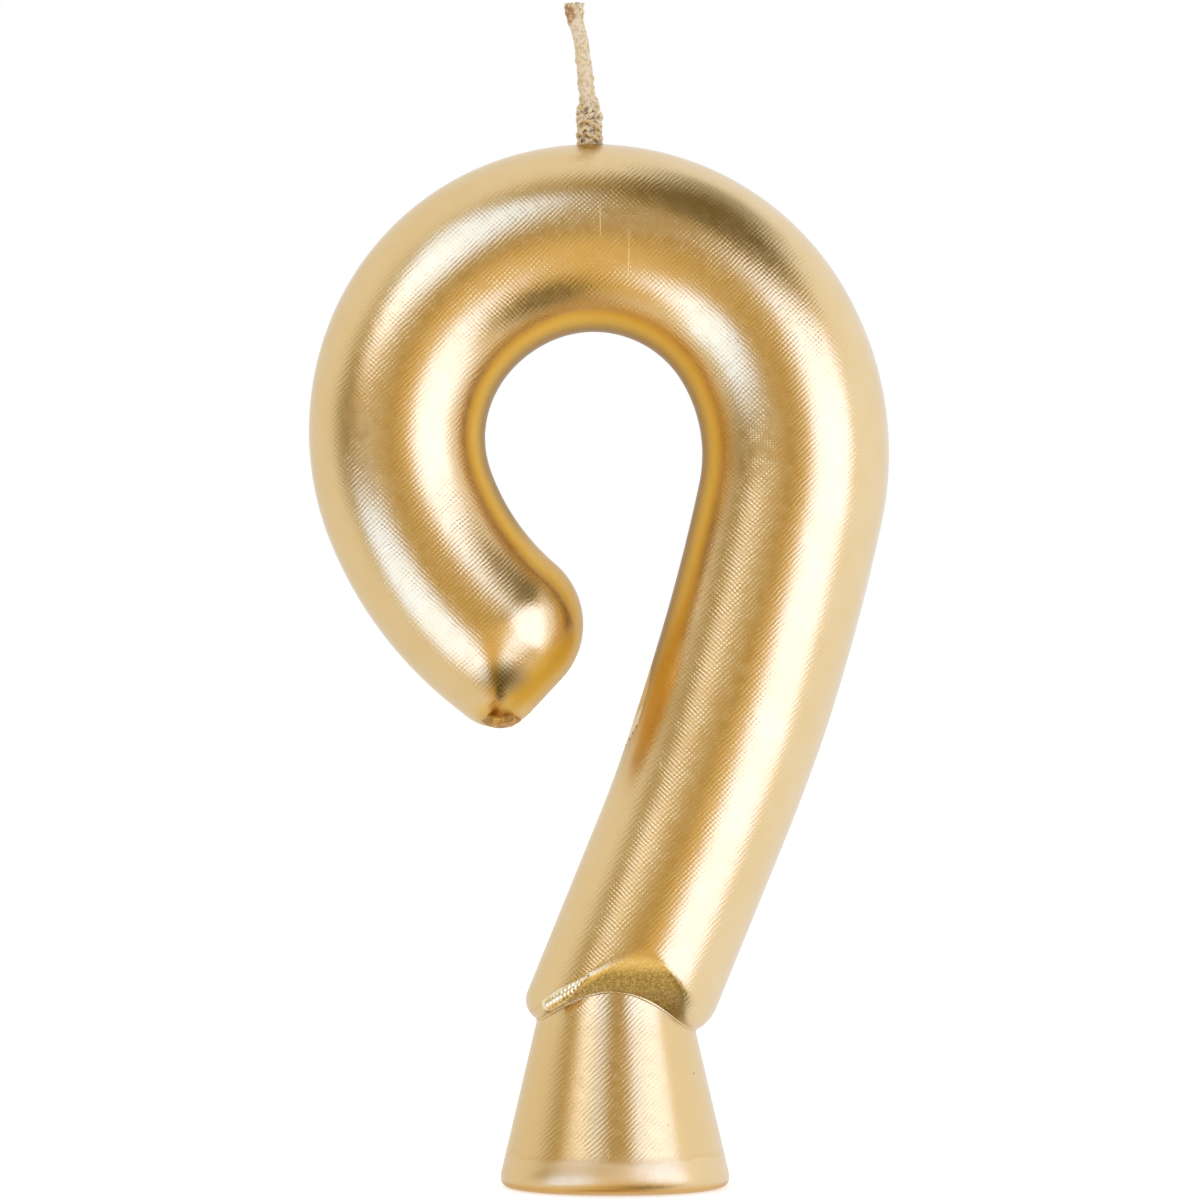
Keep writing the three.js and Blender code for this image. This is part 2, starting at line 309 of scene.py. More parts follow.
def foot_mesh(sides, rim_steps, flank_steps, inset):
    bm = bmesh.new()
    flank_from = rim_top(RIM_RADIUS_FRONT)
    profile = [(0.0, inset)]
    profile += [rim_point(i / rim_steps, RIM_RADIUS_FRONT, inset) for i in range(rim_steps)]
    heights = [flank_from + (FOOT_RUN - flank_from) * i / flank_steps for i in range(flank_steps + 1)]
    profile += [flank_point(height, inset) for height in heights]
    profile.append((0.0, FOOT_RUN))
    verts = [bm.verts.new((radius, 0, height)) for radius, height in profile]
    edges = [bm.edges.new(pair) for pair in zip(verts, verts[1:])]
    bmesh.ops.spin(
        bm, geom=verts + edges, cent=(0, 0, 0), axis=(0, 0, 1), angle=FULL_TURN,
        steps=sides, use_merge=True,
    )
    bmesh.ops.remove_doubles(bm, verts=bm.verts[:], dist=TOUCHING)
    for vert in bm.verts:
        flat = Vector((vert.co.x, vert.co.y))
        if flat.length < 10 * TOUCHING or vert.co.z > flank_from + TOUCHING:
            continue
        facing = (flat.y / flat.length) ** 2
        radius = RIM_RADIUS_SIDE + (RIM_RADIUS_FRONT - RIM_RADIUS_SIDE) * facing
        if vert.co.z > flank_from - TOUCHING:
            reach, height = flank_point(rim_top(radius), inset)
        else:
            angle = math.atan2(vert.co.z - RIM_RADIUS_FRONT, flat.length - rim_centre(RIM_RADIUS_FRONT))
            reach, height = rim_point((angle + math.pi / 2) / RIM_SWING, radius, inset)
        flat = flat.normalized() * reach
        vert.co = (flat.x, flat.y, height)
    bmesh.ops.recalc_face_normals(bm, faces=bm.faces[:])
    return bm


# %% Join the stroke and the foot
def piece_from(bm, name):
    mesh = bpy.data.meshes.new(name)
    bm.to_mesh(mesh)
    bm.free()
    piece = bpy.data.objects.new(name, mesh)
    bpy.context.scene.collection.objects.link(piece)
    return piece


def take_result(piece):
    """Replaces a piece's mesh by what its modifiers make, and removes them."""
    evaluated = piece.evaluated_get(bpy.context.evaluated_depsgraph_get())
    mesh = bpy.data.meshes.new_from_object(evaluated)
    mesh.materials.clear()
    piece.modifiers.clear()
    piece.data = mesh
    return piece


def joined(name, body, foot):
    """One closed mesh of the stroke and the foot."""
    piece = piece_from(body, name)
    other = piece_from(foot, name + "_foot")
    union = piece.modifiers.new("union", "BOOLEAN")
    union.operation = "UNION"
    union.solver = "MANIFOLD"
    union.object = other
    take_result(piece)
    bpy.data.objects.remove(other)
    return piece


COAT_STROKE_STEPS = (32, 200)
COAT_FOOT_STEPS = (144, 14, 40)
coat = joined("gold_lacquer_coat", stroke_mesh(*COAT_STROKE_STEPS, 0), foot_mesh(*COAT_FOOT_STEPS, 0))
print("coat:", len(coat.data.polygons), "faces")

# %% Wear the mitre under the tail's end
# The mould is worn along this mitre, so the ridge is softer there. Each round of smoothing reaches
# less far than the last, so that the worn place blends in. The edge at the parting plane stays.
WORN_CENTRE = Vector((-8.45, 36.9)) * MM
WORN_REACH = 3.5 * MM
WORN_SHRINK = 0.55
WORN_ROUNDS = 18
WORN_FROM_PARTING = 0.8 * MM


def wear_mitre(piece):
    bm = bmesh.new()
    bm.from_mesh(piece.data)
    for turn in range(WORN_ROUNDS):
        reach = WORN_REACH * (1 - WORN_SHRINK * turn / WORN_ROUNDS)
        near = [
            vert for vert in bm.verts
            if (Vector((vert.co.x, vert.co.z)) - WORN_CENTRE).length < reach
            and abs(vert.co.y) > WORN_FROM_PARTING
        ]
        bmesh.ops.smooth_vert(
            bm, verts=near, factor=0.5, use_axis_x=True, use_axis_y=True, use_axis_z=True,
        )
    print(piece.name, "worn over", len(near), "vertices at the middle")
    bm.to_mesh(piece.data)
    bm.free()


wear_mitre(coat)

# %% Find the crease between the foot and the heel
CREASE_ANGLE = math.radians(12)
CREASE_FROM = 8 * MM
CREASE_MERGE = 0.02 * MM
CREASE_OFF_FLANK = 0.03 * MM


def sharpen_crease(piece):
    """Marks the crease's edges sharp and returns their middles, in order round the foot."""
    bm = bmesh.new()
    bm.from_mesh(piece.data)
    bmesh.ops.remove_doubles(bm, verts=bm.verts[:], dist=CREASE_MERGE)
    crease = []
    for edge in bm.edges:
        middle = (edge.verts[0].co + edge.verts[1].co) / 2
        gap = abs(math.hypot(middle.x, middle.y) - flank_point(middle.z, 0)[0])
        if len(edge.link_faces) == 2 and middle.z > CREASE_FROM and gap < CREASE_OFF_FLANK:
            if edge.calc_face_angle_signed(0) < -CREASE_ANGLE:
                edge.smooth = False
                crease.append(middle.copy())
    bm.to_mesh(piece.data)
    bm.free()
    return sorted(crease, key=lambda point: math.atan2(point.y, point.x))


crease = sharpen_crease(coat)
print("crease edges:", len(crease))

# %% Note each vertex's place on the stroke
# The place is kept as an attribute: how far along, and the angle round from the front.
PLACE_STEP = 0.1 * MM


def note_stroke_place(piece):
    count = int(stroke.length / PLACE_STEP)
    tree = kdtree.KDTree(count + 1)
    samples = [stroke.at(i * PLACE_STEP) for i in range(count + 1)]
    for i, (point, _) in enumerate(samples):
        tree.insert((point.x, 0, point.y), i)
    tree.balance()
    layer = piece.data.attributes.new("stroke_place", "FLOAT_VECTOR", "POINT").data
    for vert in piece.data.vertices:
        _, i, _ = tree.find((vert.co.x, 0, vert.co.z))
        point, left = samples[i]
        offset = (Vector((vert.co.x, vert.co.z)) - point).dot(left)
        angle = math.degrees(math.atan2(offset, abs(vert.co.y) + 10 * TOUCHING))
        layer[vert.index].vector = (i * PLACE_STEP / MM, angle, 0)
    print("noted", len(layer), "places along", count + 1, "samples")


note_stroke_place(coat)

# %% Open the underside and give the coat its thickness
COAT_THICKNESS = 0.2 * MM


def underside_faces(bm, below):
    return [f for f in bm.faces if f.normal.z < -0.999 and f.calc_center_median().z < below]


def open_underside(piece):
    bm = bmesh.new()
    bm.from_mesh(piece.data)
    under = underside_faces(bm, 10 * TOUCHING)
    bmesh.ops.delete(bm, geom=under, context="FACES")
    loose = [v for v in bm.verts if not v.link_faces]
    bmesh.ops.delete(bm, geom=loose, context="VERTS")
    bm.to_mesh(piece.data)
    bm.free()


open_underside(coat)
wall = coat.modifiers.new("wall", "SOLIDIFY")
wall.thickness = COAT_THICKNESS
wall.offset = -1
take_result(coat)
coat.data.shade_smooth()
print("coat with its inner wall:", len(coat.data.polygons), "faces")

# %% [markdown]
# ## The wax under the coat
# The casting fills the coat, and its bare underside shows where the foot was dipped no further.
# It is the same shape drawn in by the coat's thickness, so it is made by the same functions.

# %% Wax casting
COAT_CLEARANCE = 0.08 * MM
WAX_INSET = COAT_THICKNESS + COAT_CLEARANCE
WAX_STROKE_STEPS = (16, 100)
WAX_FOOT_STEPS = (72, 7, 20)
UNDERSIDE_BAND = 0.15 * MM
wax = joined(
    "wax_casting", stroke_mesh(*WAX_STROKE_STEPS, WAX_INSET), foot_mesh(*WAX_FOOT_STEPS, WAX_INSET),
)


def lower_underside(piece):
    """Brings the wax's underside level with the coat's rim."""
    bm = bmesh.new()
    bm.from_mesh(piece.data)
    under = underside_faces(bm, 2 * WAX_INSET)
    bmesh.ops.inset_region(bm, faces=under, thickness=UNDERSIDE_BAND)
    for vert in {v for f in under for v in f.verts}:
        vert.co.z = 0.0
    bm.to_mesh(piece.data)
    bm.free()


wear_mitre(wax)
lower_underside(wax)
wax.data.shade_smooth()
print("wax:", len(wax.data.polygons), "faces")

# %% [markdown]
# ## The plaited wick
# A wick is plaited from cotton yarns, and where it leaves the wax the plait is loose and thick.
# A tube with a bump texture would show a smooth outline. So every yarn is a thin tube of its
# own: three strands cross over each other, and the yarns of a strand wind about its middle, every
# other one the opposite way.

# %% Route of the wick
# Over the crown the points are read as a place to the side in millimetres and a share of the height.
CROWN_HEIGHT = loop_centre.y + LOOP[0] + half_width_at(loop_start + loop_run * 0.5)
EXIT_X = loop_centre.x - 0.29 * MM
WICK_REACH = 10.02 * MM
WICK_END_HEIGHT = 3 * MM
OVER_CROWN = [
    (-1.1, 1), (-1.04, 0.9), (-0.74, 0.79), (-0.54, 0.69), (-0.5, 0.62), (-0.33, 0.52),
    (-0.25, 0.4), (-0.08, 0.3), (-0.04, 0.17), (0, 0),
]
UNDER_CROWN = Vector((0.15, 0, -3.35)) * MM
BURIED_RADIUS = 0.6 * MM
BURIED_STEPS = 60


def on_stroke(distance):
    point, _ = stroke.at(distance)
    return Vector((point.x, 0, point.y))


route = [Vector((EXIT_X + x * MM, 0, CROWN_HEIGHT + WICK_REACH * share)) for x, share in OVER_CROWN]
route.append(Vector((EXIT_X, 0, CROWN_HEIGHT)) + UNDER_CROWN)
route += [on_stroke(loop_start + loop_run * share) for share in (0.32, 0.18, 0.04)]
route.append(on_stroke((limb_end + loop_start) / 2))
route += [on_stroke(limb_end * share) for share in (1, 0.8, 0.6, 0.4, 0.2, 0.03)]
route += [Vector((0, 0, START.y * 0.6)), Vector((0, 0, WICK_END_HEIGHT))]
print("wick route:", len(route), "points")


def along_route(points, share):
    """A smooth curve through the points, at a share of their number."""
    spot = share * (len(points) - 1)
    i = min(len(points) - 2, int(spot))
    t = spot - i
    before, after = points[max(0, i - 1)], points[min(len(points) - 1, i + 2)]
    a, b = points[i], points[i + 1]
    return 0.5 * (
        2 * a + (b - before) * t + (2 * before - 5 * a + 4 * b - after) * t ** 2
        + (3 * a - before - 3 * b + after) * t ** 3
    )


# %% Round tubes along a path
def tube_mesh(name, paths, sides_level):
    """Round tubes along lists of (point, radius), made into one mesh."""
    curve = bpy.data.curves.new(name, "CURVE")
    curve.dimensions = "3D"
    curve.bevel_depth = 1.0
    curve.bevel_resolution = sides_level
    curve.use_fill_caps = True
    for path in paths:
        spline = curve.splines.new("POLY")
        spline.points.add(len(path) - 1)
        for knot, (point, radius) in zip(spline.points, path):
            knot.co = (*point, 1)
            knot.radius = radius
    tube = bpy.data.objects.new(name, curve)
    bpy.context.scene.collection.objects.link(tube)
    evaluated = tube.evaluated_get(bpy.context.evaluated_depsgraph_get())
    mesh = bpy.data.meshes.new_from_object(evaluated)
    bpy.data.objects.remove(tube)
    return mesh


def piece_from_tubes(name, *meshes):
    bm = bmesh.new()
    for mesh in meshes:
        bm.from_mesh(mesh)
    bmesh.ops.remove_doubles(bm, verts=bm.verts[:], dist=TOUCHING / 2)
    bmesh.ops.recalc_face_normals(bm, faces=bm.faces[:])
    piece = piece_from(bm, name)
    piece.data.shade_smooth()
    return piece


# %% Yarns of the plait
STRANDS = 3
YARNS = 9
PLAIT_PITCH = 2.7 * MM
PLAIT_STEPS = 190
# Heights over the crown between which the plait tightens, thins and frays.
COLLAR = (2.1 * MM, 3.6 * MM)
THINNED = (4.5 * MM, 7 * MM)
FRAYED_END = (8.3 * MM, 9.6 * MM)
# The size where the plait is tight, and what is added to it where the plait is loose.
STRAND_SWING = (0.19 * MM, 0.12 * MM)
STRAND_DEPTH = (0.12 * MM, 0.08 * MM)
YARN_REACH = (0.32 * MM, 0.2 * MM)
YARN_RADIUS = (0.12 * MM, 0.04 * MM)
CORE_RADIUS = (0.54 * MM, 0.18 * MM)
YARN_WANDER = 0.12 * MM
FRAYED_BY = 0.2 * MM
THINNED_BY = 0.08 * MM
exposed = route[:len(OVER_CROWN) + 1]


def loosened(sizes, loose):
    tight, more = sizes
    return tight + more * loose


def plait_centre(share):
    """The centre, the direction across and how loose the plait is at a share of its length."""
    centre = along_route(exposed, share)
    ahead, behind = along_route(exposed, min(1, share + 0.01)), along_route(exposed, max(0, share - 0.01))
    across = Vector((0, 1, 0)).cross(ahead - behind).normalized()
    over = centre.z - CROWN_HEIGHT
    return centre, across, over, 1 - smooth_share(over, *COLLAR)


def yarn_path(strand, yarn):
    path = []
    for step in range(PLAIT_STEPS + 1):
        centre, across, over, loose = plait_centre(step / PLAIT_STEPS)
        turn = FULL_TURN * (over / PLAIT_PITCH + strand / STRANDS)
        swing = loosened(STRAND_SWING, loose) * math.sin(turn)
        depth = loosened(STRAND_DEPTH, loose) * math.sin(2 * turn)
        way = 1 if (strand + yarn) % 2 else -1
        twist = FULL_TURN * (yarn / YARNS + way * over / PLAIT_PITCH)
        wander = noise.noise(Vector((3.1 * yarn, 7.3 * strand, 2.2 * over / MM)))
        reach = loosened(YARN_REACH, loose) + YARN_WANDER * wander * loose
        reach += FRAYED_BY * smooth_share(over, *FRAYED_END) - THINNED_BY * smooth_share(over, *THINNED)
        swing += reach * math.cos(twist)
        depth += reach * math.sin(twist)
        path.append((centre + across * swing + Vector((0, depth, 0)), loosened(YARN_RADIUS, loose)))
    return path


def core_path():
    """The wax that fills the plait."""
    path = []
    for step in range(PLAIT_STEPS + 1):
        centre, _, _, loose = plait_centre(step / PLAIT_STEPS)
        path.append((centre, loosened(CORE_RADIUS, loose)))
    return path


yarns = [yarn_path(strand, yarn) for strand in range(STRANDS) for yarn in range(YARNS)]
inner = route[len(OVER_CROWN):]
buried = [(along_route(inner, i / BURIED_STEPS), BURIED_RADIUS) for i in range(BURIED_STEPS + 1)]
wick = piece_from_tubes(
    "plaited_wick", tube_mesh("yarns", yarns, 1), tube_mesh("core", [core_path()], 3),
    tube_mesh("buried", [buried], 2),
)
print("wick:", len(wick.data.polygons), "faces")

# %% Note how deep each vertex lies in the plait
# The gaps between the yarns are painted darker, as painted shade, so the distance from the wick's
# middle is kept, as a share of the plait's own radius.
DEPTH_STEPS = 400
PLAIT_RADIUS = (0.64 * MM, 0.35 * MM)


def note_plait_depth(piece):
    centres = [along_route(exposed, i / DEPTH_STEPS) for i in range(DEPTH_STEPS + 1)]
    tree = kdtree.KDTree(len(centres))
    for i, centre in enumerate(centres):
        tree.insert(centre, i)
    tree.balance()
    layer = piece.data.attributes.new("from_middle", "FLOAT", "POINT").data
    for vert in piece.data.vertices:
        loose = 1 - smooth_share(vert.co.z - CROWN_HEIGHT, *COLLAR)
        layer[vert.index].value = tree.find(vert.co)[2] / loosened(PLAIT_RADIUS, loose)
    print("noted", len(layer), "depths")


note_plait_depth(wick)

# %% [markdown]
# ## Beads of lacquer
# Dip lacquer gathers where surfaces meet: as a fine bead round the top of the foot, as a short
# twisted ridge on the heel's left edge, and as an amber drop on the lowest corner of the tail.
# A bevel along the crease would have to cross many small triangles, so the beads are thin tubes
# that lie half in the surface.

# %% Bead round the foot
BEAD_SPOTS = 200
BEAD_RADIUS = 0.1 * MM
BEAD_WAVER = 0.35
BEAD_WAVER_SIZE = 1.5 * MM
EVENED_OVER = 0.03


def foot_bead_path():
    """The crease, evened out, with a bead whose thickness wavers a little."""
    angles = [math.atan2(point.y, point.x) for point in crease]
    path = []
    for spot in range(BEAD_SPOTS + 1):
        angle = FULL_TURN * (spot % BEAD_SPOTS) / BEAD_SPOTS - math.pi
        weights = []
        for own in angles:
            apart = abs((own - angle + math.pi) % FULL_TURN - math.pi)
            weights.append(math.exp(-(apart / EVENED_OVER) ** 2))
        total = sum(weights)
        point = sum((p * w for p, w in zip(crease, weights)), Vector()) / total
        wander = noise.noise(point / BEAD_WAVER_SIZE)
        path.append((point, BEAD_RADIUS * (1 + BEAD_WAVER * wander)))
    return path


foot_bead = piece_from_tubes("foot_bead", tube_mesh("bead", [foot_bead_path()], 2))
print("bead:", len(foot_bead.data.polygons), "faces")

# %% Twisted ridge on the heel
RIDGE_LEVELS = (0.43, 0.69)
RIDGE_STEPS = 110
RIDGE_TURNS = 6
RIDGE_RADIUS = 0.5 * MM
RIDGE_SWING = 0.06 * MM
RIDGE_THINNED_BY = 0.7
RIDGE_LIFT = Vector((0.0, -0.24, -0.24)) * MM
HIP_STEPS = 1000


def heel_hip(share):
    """A point on the ridge where the heel's face meets the stroke's left side."""
    level = round(share * HIP_STEPS)
    place, rise = place_in_end(HEEL, 1, level, level, HIP_STEPS, 0)
    return Vector((place.x, -rise, place.y))


def ridge_path(strand):
    path = []
    low, high = RIDGE_LEVELS
    for step in range(RIDGE_STEPS + 1):
        share = step / RIDGE_STEPS
        centre = heel_hip(low + (high - low) * share)
        ahead = heel_hip(low + (high - low) * share + 0.01) - centre
        across = ahead.cross(Vector((0, -1, 0))).normalized()
        up = across.cross(ahead).normalized()
        size = (1 - RIDGE_THINNED_BY * smooth_share(share, 0.4, 1)) * smooth_share(share, -0.12, 0.1)
        turn = FULL_TURN * (RIDGE_TURNS * share + strand / 2)
        swing = across * math.cos(turn) + up * math.sin(turn)
        path.append((centre + (RIDGE_LIFT + swing * RIDGE_SWING) * size, RIDGE_RADIUS * size))
    return path


heel_ridge = piece_from_tubes("heel_ridge", tube_mesh("ridge", [ridge_path(0), ridge_path(1)], 2))
print("ridge:", len(heel_ridge.data.polygons), "faces")

# %% Drop on the tail
DROP_PLACE = Vector((-8.14, 0, 33.48)) * MM
DROP_SIZE = Vector((1.5, 3.8, 0.72)) * MM
DROP_WOBBLE = 0.12
drop_bm = bmesh.new()
bmesh.ops.create_icosphere(drop_bm, subdivisions=4, radius=1)
for vert in drop_bm.verts:
    wobble = 1 + DROP_WOBBLE * noise.noise(vert.co * 2.1)
    vert.co = DROP_PLACE + vert.co * DROP_SIZE * wobble
drop = piece_from(drop_bm, "lacquer_drop")
drop.data.shade_smooth()
print("drop:", len(drop.data.polygons), "faces")

# %% [markdown]
# ## Marks of the mould
# The mould was milled with a ball cutter in passes at forty five degrees, and every pass left a
# fine cusp in the lacquer's surface. On the steep sides the cutter ran lengthwise, so the lines
# there are level with the parting plane. They are far finer than the mesh, so a node group makes
# them as a height for a Bump node, worked out from Object coordinates in millimetres.

# %% Small helpers for node trees
Parts = namedtuple("Parts", "x y z")


def feed(socket, value):
    """Links another node's socket to this one, or sets a plain value."""
    if isinstance(value, bpy.types.NodeSocket):
        socket.id_data.links.new(value, socket)
    else:
        socket.default_value = value


def new_node(tree, kind, inputs=None, **settings):
    node = tree.nodes.new(kind)
    for label, value in settings.items():
        setattr(node, label, value)
    for label, value in (inputs or {}).items():
        feed(node.inputs[label], value)
    return node


def math_node(operation, *values):
    """A Math node's result. The node goes into the tree of the first socket among its values."""
    tree = next(value.id_data for value in values if isinstance(value, bpy.types.NodeSocket))
    return new_node(tree, "ShaderNodeMath", dict(enumerate(values)), operation=operation).outputs[0]


def vector_node(operation, *values):
    inputs = dict(enumerate(values))
    node = new_node(values[0].id_data, "ShaderNodeVectorMath", inputs, operation=operation)
    return node.outputs["Value" if operation in ("LENGTH", "DOT_PRODUCT") else "Vector"]


def chained(operation, first, *others):
    for other in others:
        first = math_node(operation, first, other)
    return first


def product(*values):
    return chained("MULTIPLY", *values)


def total_of(*values):
    return chained("ADD", *values)


def most_of(*values):
    return chained("MAXIMUM", *values)


def rest_of(mask):
    return math_node("SUBTRACT", 1.0, mask)


def ramp(value, low, high, to_low=0.0, to_high=1.0):
    """A soft step between two limits, from one number to another."""
    numbers = {"Value": value, "From Min": low, "From Max": high, "To Min": to_low, "To Max": to_high}
    node = new_node(value.id_data, "ShaderNodeMapRange", numbers, interpolation_type="SMOOTHSTEP")
    return node.outputs["Result"]


def fall(value, low, high):
    return ramp(value, low, high, 1.0, 0.0)


def noise_of(position, scale, detail=2.0, roughness=0.5):
    numbers = {"Vector": position, "Scale": scale, "Detail": detail, "Roughness": roughness}
    return new_node(position.id_data, "ShaderNodeTexNoise", numbers).outputs["Fac"]


def mottle(position, grain, limits, results=(0.0, 1.0)):
    """A noise, given by its scale and detail, as a soft step between limits."""
    return ramp(noise_of(position, *grain), *limits, *results)


MIX_SHARE, MIX_FIRST, MIX_SECOND, MIX_COLOUR = 0, 6, 7, 2


def mix(share, first, second):
    inputs = {MIX_SHARE: share, MIX_FIRST: first, MIX_SECOND: second}
    return new_node(share.id_data, "ShaderNodeMix", inputs, data_type="RGBA").outputs[MIX_COLOUR]


def layered(colour, *layers):
    """A colour with others laid over it in order, each by its own mask."""
    for mask, over in layers:
        colour = mix(mask, colour, over)
    return colour


def millimetres(tree):
    """Object coordinates in millimetres."""
    source = tree.nodes.new("ShaderNodeTexCoord")
    inputs = {0: source.outputs["Object"], "Scale": 1 / MM}
    return new_node(tree, "ShaderNodeVectorMath", inputs, operation="SCALE").outputs["Vector"]


def parts_of(vector):
    return Parts(*new_node(vector.id_data, "ShaderNodeSeparateXYZ", {0: vector}).outputs)


def noted_on_mesh(tree, name):
    return new_node(tree, "ShaderNodeAttribute", attribute_name=name).outputs


# %% Node groups and how they are placed
def new_group(name, inputs, result):
    """A group whose inputs are given with their defaults, and which puts out one number."""
    group = bpy.data.node_groups.new(name, "ShaderNodeTree")
    for label, default in inputs.items():
        kind = "NodeSocketVector" if isinstance(default, tuple) else "NodeSocketFloat"
        group.interface.new_socket(label, in_out="INPUT", socket_type=kind).default_value = default
    group.interface.new_socket(result, in_out="OUTPUT", socket_type="NodeSocketFloat")
    given = group.nodes.new("NodeGroupInput").outputs
    return group, given, group.nodes.new("NodeGroupOutput").inputs[result]


def placed(group, position, **values):
    inputs = {"Position": position, **values}
    return new_node(position.id_data, "ShaderNodeGroup", inputs, node_tree=group).outputs[0]


# %% Cutter passes as a group
# A mottle is a scale and detail, then two limits, then what it runs between if not 0 and 1.
PASS_BREAKS = ((1.6, 3.0), (0.34, 0.64), (0.28, 1.12))
WANDER_SCALE = 0.9


def cutter_pass_group():
    inputs = {"Position": (0, 0, 0), "Angle": math.radians(45), "Spacing": 0.27, "Waver": 0.03}
    group, given, height = new_group("cutter_passes", inputs, "Height")
    position = given["Position"]
    place = parts_of(position)
    upward = product(place.z, math_node("COSINE", given["Angle"]))
    sideways = product(place.x, math_node("SINE", given["Angle"]))
    wander = product(math_node("SUBTRACT", noise_of(position, WANDER_SCALE), 0.5), given["Waver"])
    across = total_of(math_node("SUBTRACT", upward, sideways), wander)
    passes = math_node("DIVIDE", across, given["Spacing"])
    wave = math_node("SINE", product(passes, FULL_TURN))
    feed(height, product(wave, mottle(position, *PASS_BREAKS)))
    return group


cutter_passes = cutter_pass_group()
print("cutter passes:", len(cutter_passes.nodes), "nodes")


# %% Spot masks as a group
def spot_group():
    inputs = {"Position": (0, 0, 0), "Centre": (0, 0, 0), "Stretch": (1, 1, 1), "Soft": 0.5}
    group, given, mask = new_group("spot_mask", inputs, "Mask")
    away = vector_node("SUBTRACT", given["Position"], given["Centre"])
    reach = vector_node("LENGTH", vector_node("DIVIDE", away, given["Stretch"]))
    feed(mask, fall(reach, rest_of(given["Soft"]), 1.0))
    return group


spot_mask = spot_group()


def spot_at(position, centre, stretch, soft):
    """1 inside a stretched ball that fades to 0 at its edge."""
    return placed(spot_mask, position, Centre=centre, Stretch=stretch, Soft=soft)


def any_spot(position, spots, soft):
    return most_of(*[spot_at(position, centre, stretch, soft) for centre, stretch in spots])


print("spot mask:", len(spot_mask.nodes), "nodes")

# %% [markdown]
# ## The gold lacquer
# The lacquer is metal flakes in a clear film. A plain metal would be the simplest way, but its
# dark reflections come out too deep and even. So the metal gets a clear coat of its own, and masks
# change both by place. Inside the loop less of it is metal, and its deeper orange, darker at the
# edges, is painted reflection and shade for the loop's faces mirroring each other. The heel's face
# is painted shade, darker down and to the right, with a grain and a band of painted light under its
# ridge. The foot's rim is pale and matt, and its lowest band is an orange painted reflection of the
# floor. Lacquer pooled at the wick and under the tail's end, where a dark spot is a painted dark
# reflection. The dark pit on the heel and the gap beside the wick are painted shade. Places and
# sizes here are in millimetres.

# %% Colours of the lacquer
GOLD = (0.79, 0.58, 0.28, 1)
GOLD_DEEP = (0.76, 0.52, 0.20, 1)
GOLD_RIM = (0.86, 0.67, 0.40, 1)
# On the foot's lowest band GOLD_UNDER is a painted reflection of the floor; it also colours the line at
# the top of the rim.
GOLD_UNDER = (0.72, 0.42, 0.12, 1)
# The loop's inside colours are painted reflection and shade: orange to the front, dark at the edges.
INSIDE_FRONT = (0.84, 0.49, 0.055, 1)
INSIDE_EDGE = (0.36, 0.19, 0.025, 1)
# The heel's colours paint light and shade: olive and umber lower down, ochre under the ridge.
OLIVE = (0.82, 0.68, 0.38, 1)
UMBER = (0.42, 0.32, 0.13, 1)
# A painted dark reflection under the tail's end.
DARK_REFLECTION = (0.22, 0.16, 0.06, 1)
AMBER = (0.62, 0.35, 0.06, 1)
SHELF = (0.84, 0.55, 0.14, 1)
# Ochre is the heel's painted light under its ridge.
OCHRE = (1.0, 0.78, 0.34, 1)
POOL = (0.74, 0.50, 0.10, 1)
# Dark specks, and painted shade in the pit and in the gap beside the wick.
DARK_SPECK_AND_SHADE = (0.10, 0.06, 0.02, 1)
SPECULAR_TINT = (0.80, 0.76, 0.74, 1)

# %% Spots on the lacquer
# Each spot is a centre, a stretch and the share of its reach over which its edge is soft. The
# scratches and the specks share one softness each.
SCRATCHES_SOFT = 0.8
SPECKS_SOFT = 0.6
SCRATCHES = [
    ((-1.05, -6.3, 68.6), (0.035, 4, 1.9)), ((0.95, -6.3, 66.2), (0.03, 4, 2.6)),
    ((-0.5, -8.0, 3.0), (0.035, 3, 0.75)), ((-0.15, -6.3, 70.9), (0.03, 4, 0.9)),
    ((3.2, -6.3, 30.4), (0.03, 4, 0.6)), ((-11.6, -6.3, 52.4), (0.03, 4, 0.5)),
]
SPECKS = [
    ((-10.5, -4.5, 72.0), (0.10, 4, 0.10)), ((-9.8, -4.6, 72.2), (0.08, 4, 0.08)),
    ((5.57, -5.0, 8.35), (0.09, 4, 0.09)), ((3.75, -7.2, 4.98), (0.07, 4, 0.07)),
    ((8.6, -5.0, 60.0), (0.07, 4, 0.07)), ((-0.35, -8.1, 9.3), (0.06, 4, 0.06)),
]
# Painted shade: the gap beside the wick, and the pit on the heel below.
WICK_GAP_SHADE = ((-0.76, -0.6, 74.35), (0.32, 0.9, 0.3), 0.3)
POOL_AT_WICK = ((-1.75, -1.4, 74.1), (0.92, 1.6, 0.65), 0.3)
PIT_SHADE = ((-4.5, -3.7, 13.38), (0.24, 0.7, 0.24), 0.4)
TAIL_NUB = ((-5.6, -6.0, 39.4), (4.0, 9.0, 4.4), 0.5)
# A painted dark reflection under the tail's end.
TAIL_DARK_REFLECTION = ((-7.95, -4.5, 36.45), (2.5, 8.0, 1.75), 0.9)
TAIL_SHELF = ((-8.1, 0, 34.1), (3.0, 8.0, 1.2), 0.5)
TAIL_AMBER = ((-8.3, 0, 33.5), (2.2, 6.0, 1.15), 0.6)

# %% Masks of the lacquer
# Each pair is where a soft step starts and ends. First come heights.
# Below RIM_BOTTOM the foot's lowest band takes a painted reflection of the floor.
RIM_BOTTOM = (0.35, 0.75)
RIM_BAND = (0.5, 1.1)
RIM_TOP = (2.7, 3.4)
FOOT_TOP = (11.0, 14.0)
HEEL_BOTTOM = (10.6, 11.4)
HEEL_TOP = (17.4, 18.4)
HEEL_OCHRE_TOP = (15.4, 16.3)
